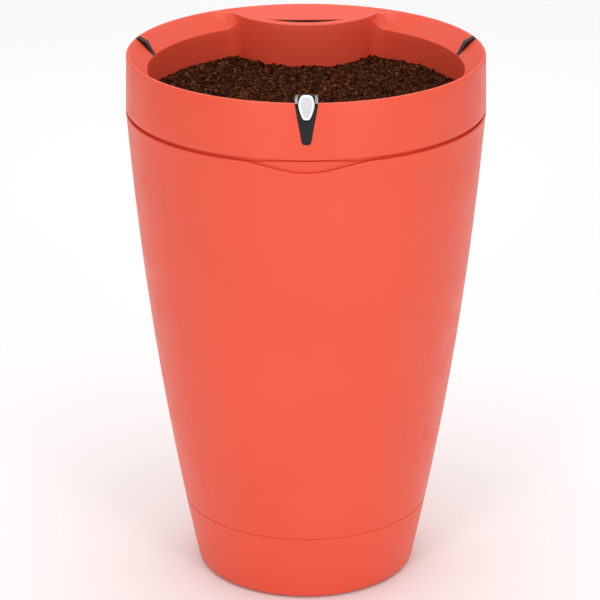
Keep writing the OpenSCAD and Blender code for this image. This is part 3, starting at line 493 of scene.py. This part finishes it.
# %% The rim's outlines
def rim_outline(turn):
    """One slice of the rim. turn is measured from straight back, and every slice has as many points."""
    a = abs(turn)
    wall_r = wall_reach(a)
    # outer band, its bottom edge and the rolled top edge
    band = [(BAND_R - 0.5, SHOULDER_Z), (BAND_R - 0.12, SHOULDER_Z + 0.12), (BAND_R, SHOULDER_Z + 0.5)]
    band += [(BAND_R + (RIM_R - BAND_R) * t, SHOULDER_Z + (BAND_H - 1) * t) for t in (0.15, 0.4, 0.7, 1.0)]
    band += [(RIM_R - 1 + math.cos(math.radians(b)), RIM_Z - 1 + math.sin(math.radians(b)))
             for b in (22, 45, 68, 90)]
    # from the top edge inwards along the slope, or over the tray and the lip
    lip_back = near_edge(min(a, 23.5), LOBE_Y, LIP_BACK_R) + 0.2
    start, end = SLOPE_OUT - 0.7, wall_r + 0.8
    lip_back = min(max(lip_back, end + 2), start - 1)
    reach = [start + (lip_back - start) * t for t in (0.0, 0.12, 0.25, 0.4, 0.55, 0.7, 0.85, 1.0)]
    reach += [lip_back - 0.12, lip_back - 0.25, lip_back - 0.38, lip_back - 0.55]
    reach += [reach[-1] + (end - reach[-1]) * t for t in (0.1, 0.22, 0.34, 0.46, 0.58, 0.7, 0.8, 0.9, 1.0)]
    top = [(SLOPE_OUT + 0.25, RIM_Z), (SLOPE_OUT - 0.15, RIM_Z - 0.12)]
    top += [(r, min(top_height(a, r), RIM_Z - 0.45)) for r in reach]
    crest_z = top_height(a, wall_r + 0.4)
    top += [(wall_r + 0.45, crest_z - 0.02), (wall_r + 0.2, crest_z - 0.18), (wall_r + 0.05, crest_z - 0.42)]
    # down the wall and under
    low_z = SOIL_Z - 5
    wall = [(wall_r, crest_z - 0.8 + (low_z - crest_z + 0.8) * t) for t in (0, 0.2, 0.4, 0.6, 0.8, 1.0)]
    skin = wall_r + POT_WALL
    under = [(wall_r + 1.2, low_z), (wall_r + 1.2, POT_TOP), (skin, POT_TOP), (skin, POT_TOP + 0.6)]
    if skin < SLOPE_IN:
        under += [(skin + 0.5, RIM_Z - 4.6), (SLOPE_OUT - 4, RIM_Z - 3.6), (RIM_R - 2.4, RIM_Z - 4.6)]
    else:
        under += [(skin, crest_z - 1.8), (SLOPE_OUT - 4, RIM_Z - 7.4), (RIM_R - 2.4, RIM_Z - 4.6)]
    under += [(BAND_R - 2.4, SHOULDER_Z + 3), (tank_r(SHOULDER_Z) - 4.1, SHOULDER_Z + 2.4)]
    under += side(SHOULDER_Z - 4, LEDGE_Z + 0.3, 3.5, 3)
    from_front = 180 - a
    dip = ease((DIP_ANGLE * 0.8 - from_front) / (DIP_ANGLE * 0.5))
    groove_low = SHOULDER_Z - 2.5 + 1.2 * dip
    neck = side(LEDGE_Z + 0.3, groove_low, 1.5, 4)
    groove = [(tank_r(SHOULDER_Z) - 2.8, groove_low + 0.2), (tank_r(SHOULDER_Z) - 2.8, SHOULDER_Z)]
    return band + top + wall + under + neck + groove


counts = {len(rim_outline(t)) for t in back_turns}
print("points in a slice:", counts)
rim = shell("Rim_ring", [(180 + t, rim_outline(t)) for t in back_turns], "coral_plastic", 38)
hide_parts("rim_ring")
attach(rim, "insert")

# %% [markdown]
# ## The filling slot
# Water is poured through a slot just behind the lip. It is the part of the lobe's circle that lies in
# front of a straight line, so it is cut with a prism of that outline. A small ledge under it holds the
# loose basket.

# %% Cut the slot
WELL_DEEP = 13
WELL_Z = RIM_Z - TRAY_LOW - (SLOPE_OUT - SLOT_Y) * TRAY_FALL - WELL_DEEP
SLOT_STEPS = 40
CUT_ROOM = 4


def prism(name, outline, low_z, high_z, finish):
    """A straight-sided block over a plan outline."""
    builder = bmesh.new()
    lower = [builder.verts.new((x * MM, y * MM, low_z * MM)) for x, y in outline]
    upper = [builder.verts.new((x * MM, y * MM, high_z * MM)) for x, y in outline]
    builder.faces.new(lower[::-1])
    builder.faces.new(upper)
    for i in range(len(outline)):
        k = (i + 1) % len(outline)
        builder.faces.new((lower[i], lower[k], upper[k], upper[i]))
    return finish_mesh(name, builder, finish)


def slot_outline():
    """The part of the lip's circle that lies in front of the slot's straight back."""
    half = math.acos((LOBE_Y - SLOT_Y) / LIP_BACK_R)
    spans = [-half + 2 * half * i / SLOT_STEPS for i in range(SLOT_STEPS + 1)]
    return [(LIP_BACK_R * math.sin(s), LOBE_Y - LIP_BACK_R * math.cos(s)) for s in spans]


def baked(piece):
    """Puts the result of a piece's modifiers into its mesh, and takes the modifiers away."""
    graph = bpy.context.evaluated_depsgraph_get()
    mesh = bpy.data.meshes.new_from_object(piece.evaluated_get(graph))
    piece.modifiers.clear()
    piece.data = mesh


def cut(piece, tool):
    """Takes a tool's shape out of a piece, and the tool away."""
    boolean = piece.modifiers.new("cut", "BOOLEAN")
    boolean.operation = "DIFFERENCE"
    boolean.solver = "EXACT"
    boolean.object = tool
    baked(piece)
    bpy.data.objects.remove(tool)


cut(rim, prism("slot_tool", slot_outline(), WELL_Z - CUT_ROOM, RIM_Z + CUT_ROOM, "coral_plastic"))
half_slot = slot_outline()[-1][0]
tray_edge = WELL_Z + WELL_DEEP - 0.7
undercut = [(-half_slot + 2, SLOT_Y - 1), (half_slot - 2, SLOT_Y - 1), (half_slot - 2, SLOT_Y + 5),
            (-half_slot + 2, SLOT_Y + 5)]
cut(rim, prism("under_tool", undercut, WELL_Z - CUT_ROOM, tray_edge, "coral_plastic"))
well = prism("Slot_well", [(-half_slot, SLOT_Y), (half_slot, SLOT_Y), (half_slot - 3, SLOT_Y + 2),
                           (-half_slot + 3, SLOT_Y + 2)], WELL_Z, WELL_Z + 9, "coral_plastic")
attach(well, "insert")
print("slot is", round(2 * half_slot, 1), "mm wide")

# %% [markdown]
# ## The light sensor's face
# The sensor is a dark tapered tongue with a white framed lens on its head. Each face is a plate drawn
# as half an outline, mirrored, and stepped in towards the front so that its edge is softly rolled.

# %% Plates with rolled edges
PLATE_Y = -BAND_R


def inset_outline(points, amount):
    """Moves every side of a closed outline inwards by the same amount."""
    result = []
    for i, point in enumerate(points):
        before, after = Vector(points[i - 1]), Vector(points[(i + 1) % len(points)])
        first, second = (Vector(point) - before).normalized(), (after - Vector(point)).normalized()
        normal = Vector((-(first.y + second.y), first.x + second.x)).normalized()
        stretch = max(normal.dot(Vector((-first.y, first.x))), 0.4)
        result.append(Vector(point) + normal * amount / stretch)
    return result


def rolled_plate(name, half, steps, finish, is_frame=False):
    """A plate over a half outline of (x, z) points, in steps of (inset, y). A frame has no middle."""
    outline = [(-x, z) for x, z in half] + [(x, z) for x, z in reversed(half) if x > 0]
    outline = rounded(outline, 0.7, 3)
    turning = sum(a[0] * b[1] - b[0] * a[1] for a, b in zip(outline, outline[1:] + outline[:1]))
    if turning < 0:
        outline.reverse()
    builder = bmesh.new()
    rows = []
    for inset, y in steps:
        rows.append([builder.verts.new((p.x * MM, y * MM, (RIM_Z + p.y) * MM))
                     for p in inset_outline(outline, inset)])
    for row, following in zip(rows, rows[1:]):
        for i in range(len(row)):
            k = (i + 1) % len(row)
            builder.faces.new((row[i], row[k], following[k], following[i]))
    if is_frame:
        for i in range(len(rows[0])):
            k = (i + 1) % len(rows[0])
            builder.faces.new((rows[0][k], rows[0][i], rows[-1][i], rows[-1][k]))
    else:
        builder.faces.new(rows[0])
        builder.faces.new(rows[-1])
    return finish_mesh(name, builder, finish)


LENS = [(0.0, -9.0), (1.3, -8.9), (2.2, -8.0), (3.3, -5.2), (4.15, -2.0), (4.35, -0.3), (4.1, 1.6),
        (3.5, 3.5), (2.7, 4.6), (1.5, 5.0), (0.0, 5.0)]
TONGUE = [(0.0, -23.6), (1.7, -23.5), (2.8, -22.8), (3.4, -21.4), (6.1, -1.2), (6.2, -0.1), (0.0, -0.1)]
HEAD = [(0.0, -10.0), (2.2, -9.6), (3.6, -6.0), (4.7, -0.4), (4.5, 1.8), (4.0, 4.0), (2.9, 4.95),
        (0.0, 5.1)]
BLOCK = [(0.0, 0.05), (4.6, 0.05), (4.6, 3.3), (0.0, 3.6)]
front = PLATE_Y - 0.4
tongue_steps = [(0, PLATE_Y + 1.8), (0, PLATE_Y + 0.9), (0.75, PLATE_Y + 0.35), (0.8, PLATE_Y),
                (1.2, PLATE_Y)]
head_steps = [(0, PLATE_Y + 1.8), (0, PLATE_Y + 0.3), (0.2, PLATE_Y)]
block_steps = [(0.3, PLATE_Y + 6.9), (0, PLATE_Y + 6.5), (0, PLATE_Y + 1.7)]
frame_steps = [(0.05, PLATE_Y + 0.7), (0.05, front + 0.35), (0.3, front + 0.08), (0.6, front),
               (1.1, front + 0.04), (1.35, front + 0.3), (1.4, PLATE_Y + 0.7)]
lens_steps = [(1.36, PLATE_Y + 0.6), (1.36, front + 0.2), (1.6, front + 0.12)]
tongue = rolled_plate("Sensor_tongue", TONGUE, tongue_steps, "grey_plastic")
head = rolled_plate("Sensor_head", HEAD, head_steps, "grey_plastic")
block = rolled_plate("Sensor_block", BLOCK, block_steps, "grey_plastic")
frame_ring = rolled_plate("Lens_frame", LENS, frame_steps, "white_gloss", is_frame=True)
lens = rolled_plate("Light_lens", LENS, lens_steps, "lens_grey")
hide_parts("lens_frame")
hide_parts("light_lens")
sensor_body = [tongue, head, block]
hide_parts("sensor_body")
for piece in [*sensor_body, frame_ring, lens]:
    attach(piece, "insert")

# %% [markdown]
# ## Soil
# The soil fills the pot down to its grate. Its top is a disc of rings whose height comes from a few sine
# waves, and its side follows the pot's wall. Geometry Nodes then scatter crumbs over a copy of the top:
# points on the surface, a rough pebble on each, turned and sized at random from a fixed seed.

# %% The soil's surface
SOIL_RINGS = 46
SOIL_LOW = 0.9
LOBE_EDGE = 27.3
SKIRT = 14
soil_turns = back_turns[::2]


def soil_height(x, y):
    """Gentle lumps, as soil settles when it is watered."""
    lumps = 0.5 * math.sin(0.11 * x + 1.3) * math.cos(0.13 * y) + 0.35 * math.sin(0.31 * x - 0.22 * y)
    return lumps + 0.25 * math.sin(0.7 * x + 0.5 * y) * math.cos(0.6 * y - 0.4 * x)


def soil_reach(turn, z):
    """Radius of the pot's inside lower down, where the lobe is a plain cylinder."""
    if abs(turn) > LOBE_EDGE:
        return pot_in(z)
    return min(pot_in(z), near_edge(turn, LOBE_Y, LOBE_R))


def soil_sheet(name, margin, depths=()):
    """The soil's top with a short skirt, carried down through the given heights."""
    builder = bmesh.new()
    rows = []
    for ring_number in range(SOIL_RINGS + 1):
        share = (ring_number / SOIL_RINGS) ** 0.8
        row = []
        for turn in soil_turns:
            r = (wall_reach(turn) - margin) * share
            x, y = r * math.sin(math.radians(turn)), r * math.cos(math.radians(turn))
            row.append(builder.verts.new((x * MM, y * MM, (SOIL_Z - SOIL_LOW + soil_height(x, y)) * MM)))
        rows.append(row)
    skirt = [builder.verts.new((v.co.x, v.co.y, v.co.z - SKIRT * MM)) for v in rows[-1]]
    rows.append(skirt)
    for z in depths:
        row = []
        for turn in soil_turns:
            r = soil_reach(turn, z) - margin
            x, y = r * math.sin(math.radians(turn)), r * math.cos(math.radians(turn))
            row.append(builder.verts.new((x * MM, y * MM, z * MM)))
        rows.append(row)
    for inner, outer in zip(rows, rows[1:]):
        for i in range(len(inner)):
            k = (i + 1) % len(inner)
            builder.faces.new((inner[i], outer[i], outer[k], inner[k]))
    builder.faces.new(rows[-1])
    return finish_mesh(name, builder, "soil")


soil = soil_sheet("Soil_bed", 0.35, (264, 240, 210, 180, GRATE_TOP))
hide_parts("potting_soil")
ground = soil_sheet("crumb_ground", 0.9)

# %% [markdown]
# ### The crumb scatter
# The tree takes the sheet, puts points on its upward faces, and sets a pebble on each one. Its sizes
# are inputs with names, so the same tree makes both the fine crumbs and the larger bits of bark.

# %% Build the scatter tree
def crumb_tree():
    """A tree that sets a pebble on each of many random points of a sheet."""
    tree = bpy.data.node_groups.new("Crumbs", "GeometryNodeTree")
    face = tree.interface
    face.new_socket("Geometry", in_out="INPUT", socket_type="NodeSocketGeometry")
    for label in ("Density", "Smallest", "Largest", "Flatness"):
        face.new_socket(label, in_out="INPUT", socket_type="NodeSocketFloat")
    face.new_socket("Seed", in_out="INPUT", socket_type="NodeSocketInt")
    face.new_socket("Finish", in_out="INPUT", socket_type="NodeSocketMaterial")
    face.new_socket("Geometry", in_out="OUTPUT", socket_type="NodeSocketGeometry")
    add = tree.nodes.new
    link = tree.links.new
    given, out = add("NodeGroupInput"), add("NodeGroupOutput")
    normal, apart = add("GeometryNodeInputNormal"), add("ShaderNodeSeparateXYZ")
    upward = add("FunctionNodeCompare")
    upward.data_type, upward.operation = "FLOAT", "GREATER_THAN"
    upward.inputs[1].default_value = 0.5
    link(normal.outputs[0], apart.inputs[0])
    link(apart.outputs["Z"], upward.inputs[0])
    points = add("GeometryNodeDistributePointsOnFaces")
    link(given.outputs["Geometry"], points.inputs["Mesh"])
    link(upward.outputs[0], points.inputs["Selection"])
    link(given.outputs["Density"], points.inputs["Density"])
    link(given.outputs["Seed"], points.inputs["Seed"])
    pebble = add("GeometryNodeMeshIcoSphere")
    pebble.inputs["Radius"].default_value = 1.0
    pebble.inputs["Subdivisions"].default_value = 1
    squash = add("GeometryNodeTransform")
    flat = add("ShaderNodeCombineXYZ")
    flat.inputs["X"].default_value = 1.25
    flat.inputs["Y"].default_value = 0.85
    link(given.outputs["Flatness"], flat.inputs["Z"])
    link(flat.outputs[0], squash.inputs["Scale"])
    link(pebble.outputs["Mesh"], squash.inputs["Geometry"])
    turn, size = add("FunctionNodeRandomValue"), add("FunctionNodeRandomValue")
    turn.data_type = "FLOAT_VECTOR"
    turn.inputs[1].default_value = (2 * math.pi,) * 3
    link(given.outputs["Seed"], turn.inputs["Seed"])
    link(given.outputs["Seed"], size.inputs["Seed"])
    link(given.outputs["Smallest"], size.inputs[2])
    link(given.outputs["Largest"], size.inputs[3])
    placed = add("GeometryNodeInstanceOnPoints")
    link(points.outputs["Points"], placed.inputs["Points"])
    link(squash.outputs["Geometry"], placed.inputs["Instance"])
    link(turn.outputs[0], placed.inputs["Rotation"])
    link(size.outputs[1], placed.inputs["Scale"])
    shade, kept = add("FunctionNodeRandomValue"), add("GeometryNodeStoreNamedAttribute")
    shade.inputs["Seed"].default_value = 7
    kept.data_type, kept.domain = "FLOAT", "INSTANCE"
    kept.inputs["Name"].default_value = "tint"
    link(placed.outputs["Instances"], kept.inputs["Geometry"])
    link(shade.outputs[1], kept.inputs["Value"])
    real, paint = add("GeometryNodeRealizeInstances"), add("GeometryNodeSetMaterial")
    link(kept.outputs["Geometry"], real.inputs["Geometry"])
    link(real.outputs["Geometry"], paint.inputs["Geometry"])
    link(given.outputs["Finish"], paint.inputs["Material"])
    link(paint.outputs["Geometry"], out.inputs["Geometry"])
    return tree


def set_inputs(modifier, **values):
    """Sets a tree's inputs by their sockets' identifiers, looked up from their names."""
    for item in modifier.node_group.interface.items_tree:
        if item.item_type == "SOCKET" and item.in_out == "INPUT" and item.name in values:
            modifier[item.identifier] = values[item.name]


CRUMBS = crumb_tree()


def scatter(name, density, smallest, largest, flatness, seed):
    """Crumbs on the ground sheet: density for each square metre, sizes in millimetres."""
    piece = bpy.data.objects.new(name, ground.data.copy())
    bpy.context.scene.collection.objects.link(piece)
    modifier = piece.modifiers.new("crumbs", "NODES")
    modifier.node_group = CRUMBS
    set_inputs(modifier, Density=density, Smallest=smallest * MM, Largest=largest * MM,
               Flatness=flatness, Seed=seed, Finish=FINISH["soil"])
    baked(piece)
    print(name, len(piece.data.polygons), "faces")
    return piece


crumbs = [
    scatter("Soil_fine_crumbs", 260000, 0.4, 1.0, 0.8, 3),
    scatter("Soil_coarse_crumbs", 200000, 0.8, 1.7, 0.7, 11),
]
bpy.data.objects.remove(ground)
for piece in [soil, *crumbs]:
    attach(piece, "insert")

# %% [markdown]
# ## Hose and cables
# The riser hose climbs from the pump to the watering ring, and two cables run from the control housing to
# the pump and to the battery. Each follows a route of straight runs. Its corners are eased into arcs, as
# wide as the line bends freely or as the runs beside the corner leave room for, and a round section with
# closed ends is swept along it.

# %% Sweep the hose and the cables
HOSE_D = 4.4
CABLE_D = 2.4
HOSE_BEND = 18.0
CABLE_BEND = 7.0


def eased(points, radius, steps=7):
    """Replaces every corner of a route with an arc of the given radius, or less where runs are short."""
    room = 0.49
    points = [Vector(point) for point in points]
    route = [points[0]]
    for before, corner, after in zip(points, points[1:], points[2:]):
        back, ahead = (before - corner).normalized(), (after - corner).normalized()
        half = back.angle(ahead) / 2
        away = min(radius / math.tan(half), (before - corner).length * room, (after - corner).length * room)
        bisector = (back + ahead).normalized()
        centre = corner + bisector * (away / math.cos(half))
        start, end = corner + back * away - centre, corner + ahead * away - centre
        for i in range(steps + 1):
            arm = start.lerp(end, i / steps)
            route.append(centre + arm.normalized() * start.length)
    return [*route, points[-1]]


def swept(name, route, diameter, finish, sides=14):
    """A round section carried along a route without twisting."""
    builder = bmesh.new()
    length = sum((b - a).length for a, b in zip(route, route[1:]))
    across = Vector((0.3, 0.8, 0.5))
    turns = [2 * math.pi * k / sides for k in range(sides)]
    rows = []
    for i, place in enumerate(route):
        ahead = (route[min(i + 1, len(route) - 1)] - route[max(i - 1, 0)]).normalized()
        across = (across - ahead * across.dot(ahead)).normalized()
        other = ahead.cross(across)
        rows.append([builder.verts.new((place + (across * math.cos(turn) + other * math.sin(turn))
                                        * diameter / 2) * MM) for turn in turns])
    for row, following in zip(rows, rows[1:]):
        for k in range(sides):
            builder.faces.new((row[k], row[(k + 1) % sides], following[(k + 1) % sides], following[k]))
    builder.faces.new(rows[0])
    builder.faces.new(rows[-1])
    print(name, "is", round(length), "mm long")
    return finish_mesh(name, builder, finish, 50)


def gap_point(turn, z):
    """A place half way between the pot and the tank's wall."""
    r = (pot_in(z) + POT_WALL + tank_r(z) - WALL) / 2
    return (r * math.sin(math.radians(turn)), -r * math.cos(math.radians(turn)), z)


RISER_TURN = -149.34
PORT = (-18.6, 22, 25.2)
CABLE_Z = POT_Z - 8
HOUSING_Z = 199
riser = [(-48.7, 82.2, 279.6), *[gap_point(RISER_TURN, z) for z in (272.6, 230, 180, 130)],
         (-44, 22, 62), (-44, 22, PORT[2]), PORT]
pump_line = [(9, 23, 53.6), (9, 28, 65.2), (9, 28, CABLE_Z - 12), (9, 69.3, CABLE_Z), (9, 69.3, HOUSING_Z)]
battery_line = [(-9, -5.1, CABLE_Z), (-12, 14, CABLE_Z), (-12, 30, CABLE_Z), (-9, 69.3, CABLE_Z),
                (-9, 69.3, HOUSING_Z)]
for name, route, bend, diameter in [("Riser_hose", riser, HOSE_BEND, HOSE_D),
                                    ("Pump_cable", pump_line, CABLE_BEND, CABLE_D),
                                    ("Battery_cable", battery_line, CABLE_BEND, CABLE_D)]:
    replaced = name.lower()
    slot = next(part["material_slot"] for part in frame["record"]["subparts"] if part["node"] == replaced)
    piece = swept(name, eased(route, bend), diameter, slot)
    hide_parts(replaced)
    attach(piece, "insert")

# %% [markdown]
# ## Studio
# The planter stands on a plain pale floor in soft light: a large soft box on each side of the camera
# gives the two broad upright highlights of satin plastic, and a bright surround fills the shadows. The
# camera is a long lens a little above the rim, looking down at about twenty degrees.

# %% Floor, lights and camera
def floor_sheet():
    """A wide pale sheet whose shade drifts a very little."""
    builder = bmesh.new()
    corners = [(-6, -4), (6, -4), (6, 8), (-6, 8)]
    builder.faces.new([builder.verts.new((x, y, 0)) for x, y in corners])
    material, tree, shader = new_material("floor")
    shade = mix(tree, noise(tree, 3), (0.95, 0.95, 0.95), (0.97, 0.97, 0.97))
    tree.links.new(shade, shader.inputs["Base Color"])
    shader.inputs["Roughness"].default_value = 0.9
    FINISH["floor"] = material
    return finish_mesh("Floor", builder, "floor")


floor = floor_sheet()

world = bpy.data.worlds.new("studio")
world.use_nodes = True
world.node_tree.nodes["Background"].inputs["Color"].default_value = (1, 1, 1, 1)
world.node_tree.nodes["Background"].inputs["Strength"].default_value = 0.5
bpy.context.scene.world = world


def soft_box(name, place, target, width, height, power):
    """A rectangular lamp that faces a target. Sizes are in metres and power in watts."""
    light = bpy.data.lights.new(name, "AREA")
    light.shape = "RECTANGLE"
    light.size, light.size_y = width, height
    light.energy = power
    lamp = bpy.data.objects.new(name, light)
    bpy.context.scene.collection.objects.link(lamp)
    lamp.location = place
    lamp.rotation_euler = (Vector(target) - Vector(place)).to_track_quat("-Z", "Y").to_euler()


middle = (0, 0, 0.16)
soft_box("left_box", (-0.75, -1.5, 0.7), middle, 0.3, 1.4, 5.8)
soft_box("right_box", (0.85, -1.4, 0.7), middle, 0.4, 1.4, 6)
soft_box("top_box", (0, -0.35, 1.9), middle, 1.3, 1.0, 10.8)
soft_box("back_box", (0, 1.3, 2.0), (0, 0.8, 0), 3.0, 1.2, 20)

FILM = 36
FOCAL = 159.9
FAR = 50
camera = bpy.data.cameras.new("camera")
camera.sensor_width = FILM
camera.lens = FOCAL
camera.clip_end = FAR
viewer = bpy.data.objects.new("camera", camera)
bpy.context.scene.collection.objects.link(viewer)
LOOK_AT = Vector((-0.0034, 0, 0.1626))
DOWN = math.radians(21.44)
DISTANCE = 1.560
viewer.location = LOOK_AT + DISTANCE * Vector((0, -math.cos(DOWN), math.sin(DOWN)))
viewer.rotation_euler = (math.pi / 2 - DOWN, 0, 0)
bpy.context.scene.camera = viewer
bpy.context.scene.view_settings.view_transform = "Standard"
